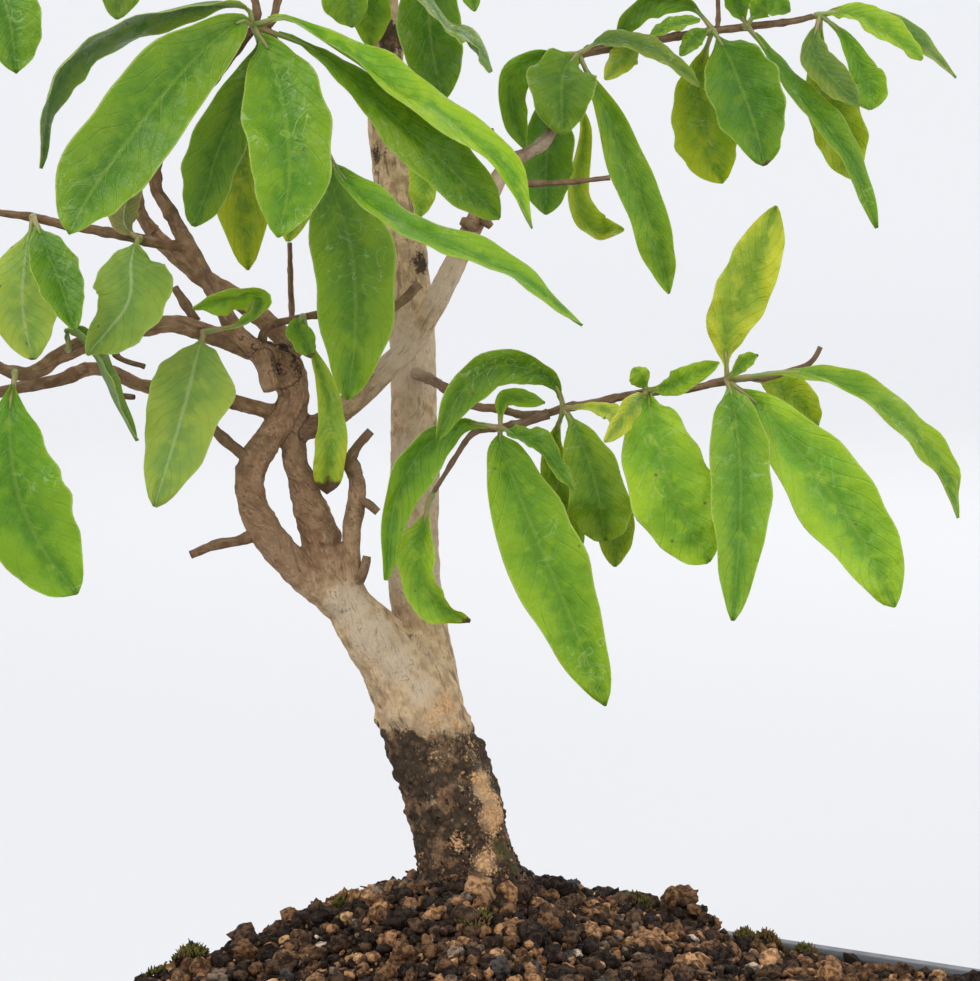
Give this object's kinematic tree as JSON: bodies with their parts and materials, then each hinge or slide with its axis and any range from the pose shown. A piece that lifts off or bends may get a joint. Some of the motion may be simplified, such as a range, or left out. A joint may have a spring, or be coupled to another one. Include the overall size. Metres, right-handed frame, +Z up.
{
  "type": "potted bonsai tree",
  "caption": "Pomegranate bonsai: a leaning forked trunk with drooping glossy leaves, rooted in a mound of granular soil in a rectangular glazed pot.",
  "frame": {"origin": "centre of the pot's flat underside, on the surface it stands on", "axes": "+Z up, +X along the pot's long side, +Y across it; the picture looks along +Y turned 35 degrees towards -X"},
  "size_m": [0.239, 0.2161, 0.2861],
  "materials": {
    "bark": "rough grey-brown bark",
    "leaf": "glossy leaf",
    "soil": "matte granules",
    "pot_glaze": "dark blue-grey satin glaze",
    "screen_plastic": "matte"
  },
  "bodies": {
    "root": {"drain_screen_1": "screen_plastic", "drain_screen_2": "screen_plastic", "leaf_behind": "leaf", "leaf_edge_on": "leaf", "leaf_on_trunk": "leaf", "leaf_twig_end": "leaf", "leaves_crown_front": "leaf", "leaves_crown_side": "leaf", "leaves_far_behind": "leaf", "leaves_far_fifth": "leaf", "leaves_far_first": "leaf", "leaves_far_fourth": "leaf", "leaves_far_left": "leaf", "leaves_far_second": "leaf", "leaves_far_third": "leaf", "leaves_forked": "leaf", "leaves_grown_a": "leaf", "leaves_grown_b": "leaf", "leaves_grown_c": "leaf", "leaves_grown_d": "leaf", "leaves_grown_e": "leaf", "leaves_grown_f": "leaf", "leaves_grown_g": "leaf", "leaves_grown_h": "leaf", "leaves_grown_i": "leaf", "leaves_grown_j": "leaf", "leaves_grown_k": "leaf", "leaves_grown_l": "leaf", "leaves_grown_m": "leaf", "leaves_grown_n": "leaf", "leaves_leader": "leaf", "leaves_left_twig": "leaf", "leaves_mid_twig": "leaf", "leaves_right_first": "leaf", "leaves_right_fourth": "leaf", "leaves_right_second": "leaf", "leaves_right_third": "leaf", "leaves_shoulder": "leaf", "leaves_shoulder_left": "leaf", "leaves_top_left": "leaf", "leaves_under_top": "leaf", "leaves_withered": "leaf", "pot": "pot_glaze", "soil": "soil", "wood": "bark"}
  },
  "joints": []
}
